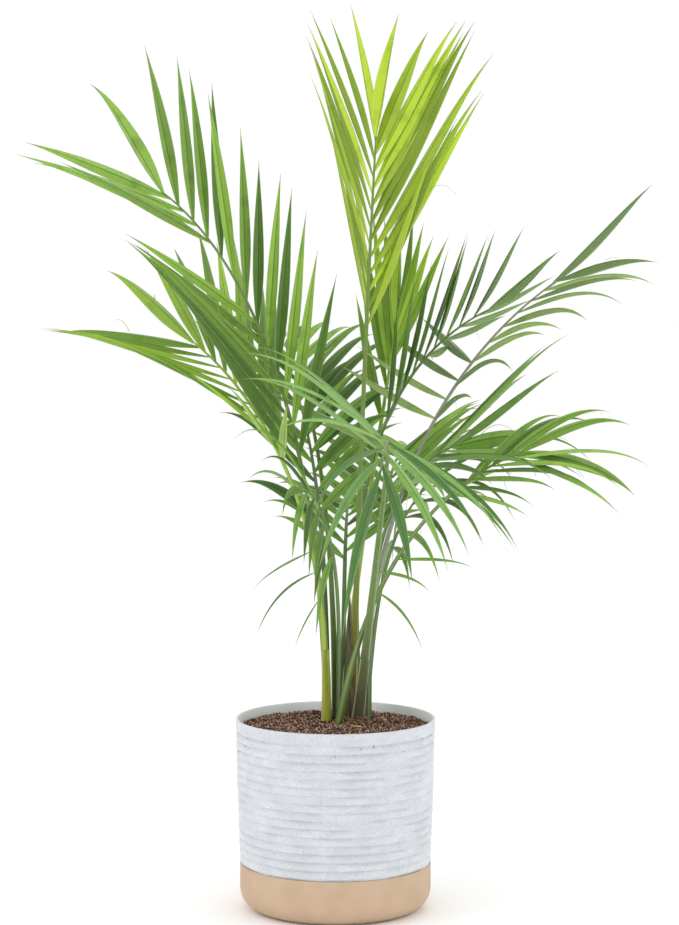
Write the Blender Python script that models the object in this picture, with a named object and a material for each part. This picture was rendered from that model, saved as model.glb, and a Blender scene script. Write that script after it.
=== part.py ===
"""A majesty palm growing in its round planter.

Units are metres, +Z is up, and the origin is the centre of the planter's flat underside.
The palm faces -Y. Every frond follows one rule: a stalk leaves the soil, rises and arches over,
and past the stalk a rib carries leaflets on both sides, in a plane that turns along the rib.
"""

import math
import random
from dataclasses import dataclass

import bmesh
import bpy
from mathutils import Matrix, Vector
from mathutils.bvhtree import BVHTree

MM = 0.001
GAP = 0.3 * MM
UP = Vector((0.0, 0.0, 1.0))

# Planter: a white ribbed wall above a plain tan base
PLANTER_HEIGHT = 250.0 * MM
RIM_RADIUS = 130.0 * MM
BASE_HEIGHT = 60.5 * MM
BASE_RADIUS = 124.5 * MM
BASE_CORNER = 28.0 * MM
WALL = 3.0 * MM
WALL_CURVE = 1.5
TURN_STEPS = 40
CORNER_STEPS = 4
RIB_COUNT = 17
RIB_PITCH = 10.7 * MM
RIB_START = 15.0 * MM
RIB_DEPTH = 0.9 * MM
RIB_STEP = 2.0 * MM

# Soil: flat where the stalks stand, falling a little towards the wall
SOIL_TOP = 243.0 * MM
SOIL_EDGE = 237.0 * MM
SOIL_FLAT_RADIUS = 85.0 * MM

# Stems: two leaf sheaths that carry a stalk, and an old brown one that ends in a point
SHEATH_HEIGHT = 82.0 * MM
OLD_STEM_FOOT = Vector((17.0, 28.0, 0.0)) * MM
OLD_STEM_TIP = Vector((19.0, 31.0, 410.0)) * MM
OLD_STEM_RADIUS = 7.5 * MM

# Limbs
STALK_END_RADIUS = 2.8 * MM
RIB_TIP_RADIUS = 1.2 * MM
STALK_RING_SPACING = 60.0 * MM
RIB_RING_SPACING = 32.0 * MM
STALK_SIDES = 6
RIB_SIDES = 4
BARE_RIB = 6.0 * MM
RIB_POINT = 8.0 * MM
SPINE_STEPS = 48
FLARE_POWER = 1.6

# Leaflets: step index along the leaflet, then the shares of its width and thickness there
LEAFLET_STEPS = 16
LEAFLET_SECTIONS = ((0, 0.30, 0.60), (4, 1.00, 1.00), (10, 0.72, 0.85))
LEAFLET_THICKNESS = 0.0125
CLOSING_FROM = 0.8
CLOSING = 0.6
SAG_POWER = 1.5
WIDER_LAST = 0.35
CLEARANCE = 0.7 * MM
LENGTH_TRIES = (1.0, 0.85, 0.7, 0.55, 0.42)
LOWEST_LEAF = PLANTER_HEIGHT + 12.0 * MM


@dataclass(frozen=True)
class Side:
    """The leaflets on one side of a blade. A tuple of values is spaced evenly along the blade."""

    count: int
    spread: tuple  # angle from the rib to a leaflet
    lift: tuple  # angle above the blade's plane
    length: tuple
    sag: float
    louver: float  # turn of a leaflet about its own length
    width: float
    crowd: float = 1.0  # power of the spacing: a lower one crowds the leaflets towards the tip
    bare: tuple = ()  # stretch of the blade where the leaflets have dropped


@dataclass(frozen=True)
class Frond:
    """One frond: lengths in millimetres, angles in degrees, shares of the length or of the blade."""

    name: str
    foot: tuple  # where the stalk stands on the soil, x and y
    foot_radius: float
    heading: float  # compass angle of the stalk, from +X towards +Y
    swing: float  # how far the heading turns on the way to the tip
    rise: float  # angle above the ground at the foot
    droop: float  # how far that angle falls by the tip
    bend: float  # power of the fall: a higher one bends later
    length: float
    stalk: float  # share of the length without leaflets
    turn: tuple  # roll of the leaflets' plane, at the first leaflet and at the tip
    color: str
    right: Side  # seen from the foot, with the upper face up
    left: Side
    sheath: str = ""


# Leaflets that more than one side has
BACK_LONG = Side(10, (50, 45, 40, 32), (25, 25), (140, 185, 165, 120), 0.45, 20, 15)
BACK_SHORT = Side(8, (50, 45, 40, 34), (22, 22), (125, 165, 150, 105), 0.6, 20, 14)

FRONDS = (
    Frond("spear", (22.5, 42), 5.2, 49, 6, 87.5, 3, 1.35, 763, 0.66, (-19, -36), "#9CC23C",
          right=Side(12, (12, 31, 25, 29, 25), (-7, -28, -39, -36, -41), (245, 300, 325, 265, 165),
                     0.1, -50, 17),
          left=Side(12, (39, 38, 34, 32, 30), (-62, -54, -49, -48, -54), (355, 330, 330, 295, 185),
                    0, 21, 14)),
    Frond("upper_left", (-10, 29), 5.4, 142, -9, 86.4, 60, 1.83, 800, 0.41, (52, 65), "#5E9140",
          right=Side(13, (31, 31, 31, 30, 37, 43), (35, 35, 25, 27, 15, 6),
                     (245, 255, 220, 260, 250, 250), 0.12, 37, 15),
          left=Side(14, (45, 36, 38, 22, 22, 23), (68, 52, 45, 30, 25, 21),
                    (300, 290, 210, 235, 275, 290), 0.12, 20, 14, bare=(0.47, 0.74))),
    Frond("low_left", (-12, 12), 6.5, 179, -40, 90.5, 61.6, 1.64, 560, 0.615, (-1, 43), "#76AB42",
          right=Side(10, (50, 43, 36, 36, 27, 20), (-6, -6, -7, -11, -17, -23),
                     (330, 330, 330, 325, 250, 225), 0.19, -32, 15),
          left=Side(10, (73, 59, 46, 46, 37, 37), (37, 22, 11, 12, 3, -21),
                    (160, 185, 215, 240, 250, 195), 0.13, -20, 13),
          sheath="left"),
    Frond("upper_right", (33.5, 31), 5.6, 20, -1, 86.4, 54, 1.42, 662, 0.53, (-4, -36), "#7FA36B",
          right=Side(9, (77, 69, 62, 55, 43, 42), (13, 31, 28, 28, 27, 15),
                     (130, 160, 175, 140, 155, 140), 0.7, -10, 14, crowd=0.6),
          left=Side(11, (87, 84, 82, 74, 51, 30), (56, 23, 3, -17, -33, -33),
                    (240, 190, 185, 195, 230, 295), 0, -41, 15, bare=(0.5, 0.9))),
    Frond("low_right", (3, -10), 6.5, 338, -11, 78, 59, 1.46, 470, 0.73, (-21, -44), "#55864A",
          right=Side(8, (45, 34, 22, 16, 58), (-24, -19, -16, -12, -21), (180, 150, 195, 225, 175),
                     0.48, -50, 14),
          left=Side(7, (81, 65, 52, 37, 29), (-15, -6, 3, -2, -12), (125, 140, 165, 145, 150),
                    0.77, -46, 13)),
    Frond("front", (28, 8), 7.6, 291, -29, 70.3, 104.5, 2.46, 630, 0.67, (46, 31), "#4F8C46",
          right=Side(8, (80, 66, 50, 20, 14), (-2, 2, 2, 8, 3), (195, 215, 235, 250, 260),
                     0.6, 12, 14),
          left=Side(8, (62, 57, 44, 34, 24), (13, 13, 14, 13, 14), (215, 235, 200, 190, 185),
                    0.76, -33, 16),
          sheath="right"),
    Frond("mid_right", (32, 67), 4.5, 59, -54, 94.5, 69, 1.97, 600, 0.64, (40, 40), "#467A3E",
          right=Side(10, (31, 29, 28, 37, 53), (14, 18, 26, 26, 8), (175, 185, 170, 150, 130),
                     0, 50, 13),
          left=Side(8, (54, 61, 54, 44, 22), (14, 14, 14, 14, 32), (255, 195, 155, 160, 115), 0, 25, 12)),
    Frond("inner_right", (43, 17), 4.3, 346, -9, 89.5, 67, 2.87, 400, 0.8, (-16, -40), "#4C7D44",
          right=Side(7, (83, 65, 46, 29, 20), (25, 7, -2, -10, -26), (270, 255, 250, 250, 170),
                     0.46, -44, 16),
          left=Side(7, (89, 68, 44, 30, 19), (-3, -11, -10, 4, 22), (195, 200, 225, 230, 140),
                    0.19, 30, 15)),
    Frond("inner_upright", (11, 47), 5.4, 80, -36, 68.6, -10.6, 1.9, 550, 0.74, (2, 3), "#A3C36A",
          right=Side(7, (26, 30, 24, 9), (2, 6, 14, 23), (250, 225, 160, 145), 0, 41, 14),
          left=Side(7, (21, 18, 9, 8), (13, 20, 34, 57), (330, 260, 190, 110), 0, -25, 14)),
    Frond("droop_left", (4, 16), 4.4, 227, 25, 91.5, 86, 2.92, 360, 0.61, (51, 83), "#3E6B3A",
          right=Side(6, (86, 69, 49, 19), (-20, -6), (175, 210, 145, 90), 1.17, 4, 11),
          left=Side(6, (89, 71, 53, 28), (-25, 14), (145, 140, 120, 155), 1.07, -39, 11)),
    Frond("droop_right", (40, 58), 4.3, 18, -10, 84.5, 42.4, 2.91, 330, 0.65, (9, 2), "#3E6B3A",
          right=Side(6, (88, 81, 67, 54), (-3, -8), (145, 210, 230, 240), 0.98, -15, 11),
          left=Side(6, (105, 84, 63, 49), (3, -8), (225, 250, 260, 240), 1.17, -10, 11)),
    Frond("back_left", (0, 40), 5.0, 106, 0, 87, 74, 1.7, 610, 0.52, (-10, -10), "#55894A",
          right=BACK_LONG,
          left=BACK_LONG),
    Frond("back_right", (44, 76), 4.4, 78, 0, 86, 90, 1.4, 500, 0.52, (10, 10), "#55894A",
          right=BACK_LONG,
          left=BACK_LONG),
    Frond("back_side", (-10, 46), 4.3, 109, 0, 88, 48, 2.0, 465, 0.55, (0, 0), "#4C7D44",
          right=BACK_SHORT,
          left=BACK_SHORT),
    Frond("back_low", (10, 66), 4.3, 88, 0, 82, 93, 1.4, 420, 0.52, (0, 0), "#4C7D44",
          right=BACK_SHORT,
          left=BACK_SHORT),
)


def linear(channel):
    """One sRGB channel, 0 to 1, as linear light."""
    return channel / 12.92 if channel <= 0.04045 else ((channel + 0.055) / 1.055) ** 2.4


def material(name, color, roughness):
    """A Principled material in a plain colour given as sRGB hex."""
    made = bpy.data.materials.new(name)
    made.use_nodes = True
    shader = made.node_tree.nodes["Principled BSDF"]
    channels = [int(color[i:i + 2], 16) / 255 for i in (1, 3, 5)]
    shader.inputs["Base Color"].default_value = (*map(linear, channels), 1.0)
    shader.inputs["Roughness"].default_value = roughness
    shader.inputs["Metallic"].default_value = 0.0
    return made


def add_object(name, mesh, origin, surface, parent):
    """A named object at its own origin, whose mesh is given in world coordinates."""
    mesh.transform(Matrix.Translation(-origin))
    mesh.materials.clear()
    mesh.materials.append(surface)
    obj = bpy.data.objects.new(name, mesh)
    obj.location = origin
    obj.parent = parent
    bpy.context.scene.collection.objects.link(obj)
    return obj


def blend(start, end, share):
    return start + (end - start) * share


class Spine:
    """The curve of a frond's stalk and rib, walked in short steps from its foot."""

    def __init__(self, frond):
        self.frond = frond
        self.length = frond.length * MM
        self.points = [Vector((frond.foot[0] * MM, frond.foot[1] * MM, SOIL_TOP + GAP))]
        for step in range(SPINE_STEPS):
            tangent = self.frame((step + 0.5) / SPINE_STEPS)[0]
            self.points.append(self.points[-1] + tangent * (self.length / SPINE_STEPS))

    def point(self, share):
        place = min(max(share, 0.0), 1.0) * SPINE_STEPS
        step = min(int(place), SPINE_STEPS - 1)
        return self.points[step].lerp(self.points[step + 1], place - step)

    def frame(self, share):
        """Tangent, sideways direction and upper face's normal of the blade at a share of the length."""
        frond = self.frond
        heading = math.radians(frond.heading + frond.swing * share)
        slope = math.radians(frond.rise - frond.droop * share ** frond.bend)
        along = max(share - frond.stalk, 0.0) / (1.0 - frond.stalk)
        roll = math.radians(blend(*frond.turn, along))
        flat = Vector((math.cos(heading), math.sin(heading), 0.0))
        tangent = flat * math.cos(slope) + UP * math.sin(slope)
        level = Vector((math.sin(heading), -math.cos(heading), 0.0))
        above = level.cross(tangent)
        side = level * math.cos(roll) + above * math.sin(roll)
        return tangent, side, side.cross(tangent)

    def share_at_height(self, height):
        """The first share of the length at which the spine is this high above its foot."""
        for step, point in enumerate(self.points):
            if point.z - self.points[0].z >= height:
                return step / SPINE_STEPS
        return 1.0


def tube_shape(points, tangents, radii, sides):
    """Vertices and faces of a closed tube. A radius of 0 at its end makes a point there."""
    vertices = []
    faces = []
    across = Vector((1.0, 0.0, 0.0))
    for point, tangent, radius in zip(points, tangents, radii):
        across = (across - tangent * across.dot(tangent)).normalized()
        other = tangent.cross(across)
        if radius == 0.0:
            vertices.append(point)
            continue
        for corner in range(sides):
            angle = math.tau * corner / sides
            vertices.append(point + (across * math.cos(angle) + other * math.sin(angle)) * radius)
    pointed = radii[-1] == 0.0
    rings = len(points) - pointed
    for ring in range(rings - 1):
        low = ring * sides
        for corner in range(sides):
            after = (corner + 1) % sides
            faces.append((low + corner, low + after, low + sides + after, low + sides + corner))
    last = (rings - 1) * sides
    faces.append(tuple(reversed(range(sides))))
    if pointed:
        faces += [(last + corner, last + (corner + 1) % sides, len(vertices) - 1)
                  for corner in range(sides)]
    else:
        faces.append(tuple(range(last, last + sides)))
    return vertices, faces


def mesh_of(name, shape, smooth=True):
    """A mesh from vertices and faces, with its faces turned outwards."""
    mesh = bpy.data.meshes.new(name)
    mesh.from_pydata(shape[0], [], shape[1])
    shell = bmesh.new()
    shell.from_mesh(mesh)
    bmesh.ops.recalc_face_normals(shell, faces=shell.faces)
    shell.to_mesh(mesh)
    shell.free()
    if smooth:
        mesh.shade_smooth()
        mesh.set_sharp_from_angle(angle=math.radians(50.0))
    return mesh


def stalk_radius(frond, share):
    """Radius of a stalk, which flares towards its foot."""
    left = max(1.0 - share / frond.stalk, 0.0)
    return STALK_END_RADIUS + (frond.foot_radius * MM - STALK_END_RADIUS) * left ** FLARE_POWER


def limb_shape(spine, first, last, spacing, radius_at, sides, point_length=0.0):
    """A tube along the spine between two shares of its length, standing flat on the soil."""
    spans = math.ceil((last - first) * spine.length / spacing)
    shares = [blend(first, last, ring / spans) for ring in range(spans + 1)]
    points = [spine.point(share) for share in shares]
    tangents = [spine.frame(share)[0] for share in shares]
    radii = [radius_at(share) for share in shares]
    if first == 0.0:
        tangents[0] = UP
    if point_length:
        points.append(points[-1] + tangents[-1] * point_length)
        tangents.append(tangents[-1])
        radii.append(0.0)
    return tube_shape(points, tangents, radii, sides)


def stalk_start(spine):
    """Share of the length where the stalk starts: at the soil, or above the sheath that carries it."""
    if not spine.frond.sheath:
        return 0.0
    return spine.share_at_height(SHEATH_HEIGHT) + GAP / spine.length


def blade_start(spine):
    return spine.frond.stalk - BARE_RIB / spine.length


def stalk_shape(spine):
    end = blade_start(spine) - GAP / spine.length
    return limb_shape(spine, stalk_start(spine), end, STALK_RING_SPACING,
                      lambda share: stalk_radius(spine.frond, share), STALK_SIDES)


def sheath_shape(spine):
    end = spine.share_at_height(SHEATH_HEIGHT)
    return limb_shape(spine, 0.0, end, STALK_RING_SPACING,
                      lambda share: stalk_radius(spine.frond, 0.5 * share), STALK_SIDES + 2)


def rib_shape(spine):
    first = blade_start(spine)
    return limb_shape(
        spine, first, 1.0, RIB_RING_SPACING,
        lambda share: blend(STALK_END_RADIUS, RIB_TIP_RADIUS, (share - first) / (1.0 - first)),
        RIB_SIDES, RIB_POINT)


def value_at(values, share):
    """A value at a share of the blade, from values spaced evenly along it."""
    place = share * (len(values) - 1)
    low = min(int(place), len(values) - 2)
    return blend(values[low], values[low + 1], place - low)


def leaflet_shape(spine, along, hand, chance, tried_length, grown=0.0):
    """A leaflet as a three-sided blade: a flat under face, and a ridge along its upper face.

    The hand is 1 on the right side of the frond and -1 on the left one.
    """
    frond = spine.frond
    side = frond.right if hand > 0 else frond.left
    root = spine.point(blend(frond.stalk, 1.0, along))
    tangent, level, above = spine.frame(blend(frond.stalk, 1.0, along))
    closing = max(0.0, (along - CLOSING_FROM) / (1.0 - CLOSING_FROM)) ** 2
    spread = math.radians(value_at(side.spread, along) + chance.uniform(-2.0, 2.0))
    spread *= 1.0 - CLOSING * closing
    lift = math.radians(value_at(side.lift, along) + chance.uniform(-3.0, 3.0))
    length = value_at(side.length, along) * MM * chance.uniform(0.94, 1.06)
    sag = side.sag * chance.uniform(0.75, 1.25)
    louver = math.radians(side.louver + chance.uniform(-8.0, 8.0)) * (1.0 - closing)
    width = side.width * MM * (1.0 + WIDER_LAST * closing)
    length *= tried_length
    outward = level * (hand * math.cos(lift)) + above * math.sin(lift)
    start = tangent * math.cos(spread) + outward * math.sin(spread)
    breadth = tangent - start * tangent.dot(start)
    breadth.rotate(Matrix.Rotation(hand * louver, 3, start))
    points = [root]
    directions = [start]
    for step in range(LEAFLET_STEPS):
        share = (step + 0.5) / LEAFLET_STEPS
        direction = (start - UP * (sag * share ** SAG_POWER)).normalized()
        points.append(points[-1] + direction * (length / LEAFLET_STEPS))
        directions.append(direction)
    vertices = []
    for step, width_share, thick_share in LEAFLET_SECTIONS:
        direction = directions[step]
        across = (breadth - direction * breadth.dot(direction)).normalized()
        upper = direction.cross(across) * hand
        half = width * width_share / 2 + grown
        thick = length / tried_length * LEAFLET_THICKNESS * thick_share + grown
        vertices += [points[step] - across * half - upper * grown,
                     points[step] + across * half - upper * grown,
                     points[step] + upper * thick]
    vertices.append(points[-1] + directions[-1] * grown)
    faces = [(2, 1, 0)]
    for low in range(0, 3 * (len(LEAFLET_SECTIONS) - 1), 3):
        for corner in range(3):
            after = (corner + 1) % 3
            faces.append((low + corner, low + after, low + 3 + after, low + 3 + corner))
    last = len(vertices) - 1
    faces += [(last - 3 + corner, last - 3 + (corner + 1) % 3, last) for corner in range(3)]
    return vertices, faces


def touches(shape, obstacles, owner):
    """Whether a shape meets anything of another owner."""
    tree = BVHTree.FromPolygons(*shape)
    return any(tree.overlap(other) for name, other in obstacles if name != owner)


def leaflet_shapes(spine, obstacles):
    """The leaflets that keep to their own space: one that can't, even cut short, is skipped."""
    frond = spine.frond
    shapes = []
    for hand, side in ((1, frond.right), (-1, frond.left)):
        for index in range(side.count):
            along = ((index + (0.5 if hand > 0 else 0.0)) / (side.count - 0.5)) ** side.crowd
            if side.bare and side.bare[0] < along < side.bare[1]:
                continue
            seed = f"{frond.name} {hand} {index}"
            for tried in LENGTH_TRIES:
                probe = leaflet_shape(spine, along, hand, random.Random(seed), tried, CLEARANCE)
                if min(vertex.z for vertex in probe[0]) < LOWEST_LEAF:
                    continue
                if touches(probe, obstacles, frond.name):
                    continue
                shapes.append(leaflet_shape(spine, along, hand, random.Random(seed), tried))
                break
    return shapes


def fused_blade(frond, rib, leaflets):
    """The rib and its leaflets joined into one closed mesh by one Boolean union."""
    whole = bpy.data.objects.new(f"rib {frond.name}", mesh_of("rib", rib))
    bpy.context.scene.collection.objects.link(whole)
    group = bpy.data.collections.new(f"leaflets {frond.name}")
    bpy.context.scene.collection.children.link(group)
    for shape in leaflets:
        group.objects.link(bpy.data.objects.new("leaflet", mesh_of("leaflet", shape)))
    union = whole.modifiers.new("Union", "BOOLEAN")
    union.operation = "UNION"
    union.operand_type = "COLLECTION"
    union.collection = group
    union.solver = "MANIFOLD"
    graph = bpy.context.evaluated_depsgraph_get()
    mesh = bpy.data.meshes.new_from_object(whole.evaluated_get(graph))
    for piece in [whole, *group.objects]:
        scrap = piece.data
        bpy.data.objects.remove(piece)
        bpy.data.meshes.remove(scrap)
    bpy.data.collections.remove(group)
    mesh.name = f"frond_{frond.name}"
    mesh.shade_smooth()
    mesh.set_sharp_from_angle(angle=math.radians(30.0))
    return mesh


def wall_radius(height):
    """Outer radius of the planter's wall, which narrows downwards in a gentle curve."""
    down = (PLANTER_HEIGHT - height) / (PLANTER_HEIGHT - BASE_HEIGHT)
    return RIM_RADIUS - (RIM_RADIUS - BASE_RADIUS) * down ** WALL_CURVE


def base_outline(inset):
    """Half outline of the base from its top edge to the middle of its underside, moved inwards."""
    radius = BASE_RADIUS - inset
    corner = BASE_CORNER - inset
    outline = []
    for step in range(CORNER_STEPS + 1):
        angle = math.pi / 2 * step / CORNER_STEPS
        outline.append((radius - corner + corner * math.cos(angle),
                        BASE_CORNER - corner * math.sin(angle)))
    return outline + [(0.0, inset)]


def wall_outline():
    """Closed outline of the ribbed wall: down the outside, where each rib laps the next one."""
    lowest = BASE_HEIGHT + GAP
    outline = [(RIM_RADIUS - 1.0 * MM, PLANTER_HEIGHT), (RIM_RADIUS, PLANTER_HEIGHT - 1.0 * MM)]
    for rib in range(RIB_COUNT):
        lip = PLANTER_HEIGHT - RIB_START - RIB_PITCH * rib
        if lip - RIB_STEP < lowest:
            break
        outline.append((wall_radius(lip), lip))
        outline.append((wall_radius(lip) - RIB_DEPTH, lip - RIB_STEP))
    outline.append((wall_radius(lowest), lowest))
    outline.append((wall_radius(lowest) - WALL, lowest))
    middle = (PLANTER_HEIGHT + lowest) / 2
    outline.append((wall_radius(middle) - WALL, middle))
    outline.append((RIM_RADIUS - WALL, PLANTER_HEIGHT - 1.0 * MM))
    outline.append((RIM_RADIUS - WALL + 1.0 * MM, PLANTER_HEIGHT))
    return outline


def turned(name, outline, closed, surface, parent):
    """A turned piece: its half outline, drawn at +X, swept round the Z axis by a Screw modifier."""
    count = len(outline)
    edges = [(i, (i + 1) % count) for i in range(count if closed else count - 1)]
    mesh = bpy.data.meshes.new(name)
    mesh.from_pydata([(radius, 0.0, height) for radius, height in outline], edges, [])
    obj = add_object(name, mesh, Vector(), surface, parent)
    screw = obj.modifiers.new("Turn", "SCREW")
    screw.steps = TURN_STEPS
    screw.render_steps = TURN_STEPS
    screw.use_merge_vertices = True
    screw.merge_threshold = 0.00001
    screw.use_smooth_shade = True
    return obj


def make_planter(parent):
    turned("planter_body", wall_outline(), True, material("White glaze", "#DCE1E4", 0.55), parent)
    inner = [(BASE_RADIUS - WALL, BASE_HEIGHT), *base_outline(WALL)]
    outer = [(BASE_RADIUS, BASE_HEIGHT), *base_outline(0.0)]
    turned("planter_base", outer + inner[::-1], True, material("Tan base", "#CCAE92", 0.6), parent)


def make_soil(parent):
    clear = WALL + GAP
    middle = (SOIL_EDGE + BASE_HEIGHT) / 2
    outline = [(0.0, SOIL_TOP), (SOIL_FLAT_RADIUS, SOIL_TOP)]
    outline += [(wall_radius(height) - clear, height) for height in (SOIL_EDGE, middle, BASE_HEIGHT)]
    outline += base_outline(clear)
    turned("soil", outline, False, material("Potting soil", "#4A342B", 0.95), parent)


def make_old_stem(parent):
    """The brown stem between the sheaths, which narrows to a dry point."""
    foot = OLD_STEM_FOOT + UP * (SOIL_TOP + GAP)
    axis = OLD_STEM_TIP - foot
    shares = (0.0, 0.3, 0.65, 0.9, 1.0)
    radii = [OLD_STEM_RADIUS * (1.0 - share ** 2) for share in shares]
    tangents = [UP] + [axis.normalized()] * (len(shares) - 1)
    shape = tube_shape([foot + axis * share for share in shares], tangents, radii, STALK_SIDES + 2)
    add_object("stem_middle", mesh_of("stem_middle", shape), foot,
               material("Dry fibre", "#6B5138", 0.9), parent)
    return shape


def make_limbs(spines, parent):
    """All stalks and sheaths. Returns what a leaflet has to keep clear of, with each owner's name."""
    obstacles = [("", BVHTree.FromPolygons(*make_old_stem(parent)))]
    for spine in spines:
        frond = spine.frond
        surface = material(f"Stalk {frond.name}", frond.color, 0.45)
        shape = stalk_shape(spine)
        add_object(f"stalk_{frond.name}", mesh_of("stalk", shape), spine.point(stalk_start(spine)),
                   surface, parent)
        obstacles.append(("", BVHTree.FromPolygons(*shape)))
        obstacles.append((frond.name, BVHTree.FromPolygons(*rib_shape(spine))))
        if frond.sheath:
            shape = sheath_shape(spine)
            add_object(f"stem_{frond.sheath}", mesh_of("stem", shape), spine.point(0.0),
                       surface, parent)
            obstacles.append(("", BVHTree.FromPolygons(*shape)))
    return obstacles


def make_blades(spines, obstacles, parent):
    for spine in spines:
        frond = spine.frond
        leaflets = leaflet_shapes(spine, obstacles)
        obstacles += [(frond.name, BVHTree.FromPolygons(*shape)) for shape in leaflets]
        add_object(f"frond_{frond.name}", fused_blade(frond, rib_shape(spine), leaflets),
                   spine.point(blade_start(spine)), material(f"Leaf {frond.name}", frond.color, 0.4),
                   parent)


def main():
    for obj in list(bpy.data.objects):
        bpy.data.objects.remove(obj)
    palm = bpy.data.objects.new("majesty_palm", None)
    bpy.context.scene.collection.objects.link(palm)
    make_planter(palm)
    make_soil(palm)
    spines = [Spine(frond) for frond in FRONDS]
    obstacles = make_limbs(spines, palm)
    make_blades(spines, obstacles, palm)


main()
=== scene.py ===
"""A majesty palm in its round planter, dressed over the part's solids.

Units are metres, +Z is up and the palm faces -Y. Every frond is worked out by one rule: a stalk rises
and arches, and past it a rib carries leaflets on both sides. Geometry Nodes sweep the cross-sections.
"""

import math
import random
from dataclasses import dataclass, field

import bmesh
import bpy
from bpy.props import FloatProperty, FloatVectorProperty, IntProperty, PointerProperty
from mathutils import Matrix, Vector, noise
from mathutils.kdtree import KDTree


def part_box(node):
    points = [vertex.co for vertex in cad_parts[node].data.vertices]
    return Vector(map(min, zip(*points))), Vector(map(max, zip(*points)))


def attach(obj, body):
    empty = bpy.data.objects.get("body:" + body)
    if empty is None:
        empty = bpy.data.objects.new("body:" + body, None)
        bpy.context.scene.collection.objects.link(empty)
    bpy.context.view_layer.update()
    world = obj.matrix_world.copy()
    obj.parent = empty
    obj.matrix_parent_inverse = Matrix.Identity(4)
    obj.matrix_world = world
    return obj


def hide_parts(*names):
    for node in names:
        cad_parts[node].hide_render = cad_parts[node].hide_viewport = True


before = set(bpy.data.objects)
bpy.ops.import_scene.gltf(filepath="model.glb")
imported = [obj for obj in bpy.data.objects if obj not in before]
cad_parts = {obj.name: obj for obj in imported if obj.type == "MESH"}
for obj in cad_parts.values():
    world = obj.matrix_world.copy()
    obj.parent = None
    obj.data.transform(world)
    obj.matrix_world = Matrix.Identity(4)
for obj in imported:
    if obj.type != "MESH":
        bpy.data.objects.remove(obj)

bl_info = {
    "name": "Majesty Palm",
    "version": (1, 0, 0),
    "blender": (4, 5, 0),
    "location": "3D View > Sidebar > Palm",
    "description": "Builds a majesty palm in a ribbed planter",
    "category": "Add Mesh",
}

MM = 0.001
GAP = 0.3 * MM
UP = Vector((0.0, 0.0, 1.0))
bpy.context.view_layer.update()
PLANTER_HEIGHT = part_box("planter_body")[1].z
RIM_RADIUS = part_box("planter_body")[1].x
BASE_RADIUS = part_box("planter_base")[1].x
BASE_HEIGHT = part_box("planter_base")[1].z
SOIL_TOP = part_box("soil")[1].z

# The fronds' rule, the same as the solids'
STALK_END_RADIUS = 2.8 * MM
RIB_TIP_RADIUS = 1.2 * MM
BARE_RIB = 6.0 * MM
SPINE_STEPS = 48
FLARE_POWER = 1.6
SHEATH_HEIGHT = 82.0 * MM
SHEATH_BACK = Vector((0.25, -1.0, 0.0)).normalized()
LEAFLET_STEPS = 16
CLOSING_FROM = 0.8
CLOSING = 0.6
SAG_POWER = 1.5
WIDER_LAST = 0.35
WIDEST_AT = 0.36
LENGTH_TRIES = (1.0, 0.85, 0.7, 0.55, 0.42)
TIP_NEAR = 0.3 * MM
TIP_FROM = 0.6

# What the scene adds to the solids
FLOOR_HALF = 40.0
CAMERA_LENS = 105.2
CAMERA_TILT = 4.41
RIM_ROUND = 1.4 * MM
WALL_ROW = 0.9 * MM
LIP_SHARE = 0.17
BASE_CORNER = 28.0 * MM
SOIL_INSET = 3.3 * MM
USUAL_HALF_WIDTH = 7.5 * MM
VEINS = 30.0
OLD_STEM_HALF = 7.5 * MM
ROOTLETS = 16
ROOTLET_LENGTH = 36.0 * MM
ROOTLET_HALF = 0.9 * MM
THREAD_CHANCE = 0.12
THREAD_LENGTH = (22.0 * MM, 50.0 * MM)
THREAD_HALF = 0.55 * MM

DRY_TIP = "#77745E"
PAPERY = "#C7B79B"

# Tones, from 0 to 1, above and below which a leaflet or crumb takes the light or the dark finish
LIGHT_TONE = 0.64
DARK_TONE = 0.32


def linear(color):
    """An sRGB hex colour as linear light, with alpha."""
    channels = [int(color[i:i + 2], 16) / 255 for i in (1, 3, 5)]
    return (*[c / 12.92 if c <= 0.04045 else ((c + 0.055) / 1.055) ** 2.4 for c in channels], 1.0)


def with_alpha(color):
    return (*color, 1.0)


def blend(start, end, share):
    return start + (end - start) * share


@dataclass(frozen=True)
class Side:
    """The leaflets on one side of a blade. A tuple of values is spaced evenly along the blade."""

    count: int
    spread: tuple  # angle from the rib to a leaflet
    lift: tuple  # angle above the blade's plane
    length: tuple
    sag: float
    louver: float  # turn of a leaflet about its own length
    width: float
    crowd: float = 1.0  # power of the spacing: a lower one crowds the leaflets towards the tip


@dataclass(frozen=True)
class Tint:
    """Plain colours of a frond: its upper face, fresh and deep, its under face, stalk and foot."""

    name: str
    fresh: str
    deep: str
    under: str
    stalk: str
    foot: str


@dataclass(frozen=True)
class Frond:
    """One frond: lengths in millimetres, angles in degrees, shares of the length or of the blade."""

    name: str
    foot: tuple  # where the stalk stands on the soil, x and y
    foot_radius: float
    heading: float  # compass angle of the stalk, from +X towards +Y
    swing: float  # how far the heading turns on the way to the tip
    rise: float  # angle above the ground at the foot
    droop: float  # how far that angle falls by the tip
    bend: float  # power of the fall: a higher one bends later
    length: float
    stalk: float  # share of the length without leaflets
    turn: tuple  # roll of the leaflets' plane, at the first leaflet and at the tip
    tint: Tint
    right: Side  # seen from the foot, with the upper face up
    left: Side
    slot: str
    sheath: str = ""
    slim: float = 1.0  # share of the leaflets' width that is drawn


# Leaflets that more than one side has
BACK_LONG = Side(10, (50, 45, 40, 32), (25, 25), (140, 185, 165, 120), 0.45, 20, 15)
BACK_SHORT = Side(8, (50, 45, 40, 34), (22, 22), (125, 165, 150, 105), 0.6, 20, 14)

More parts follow.
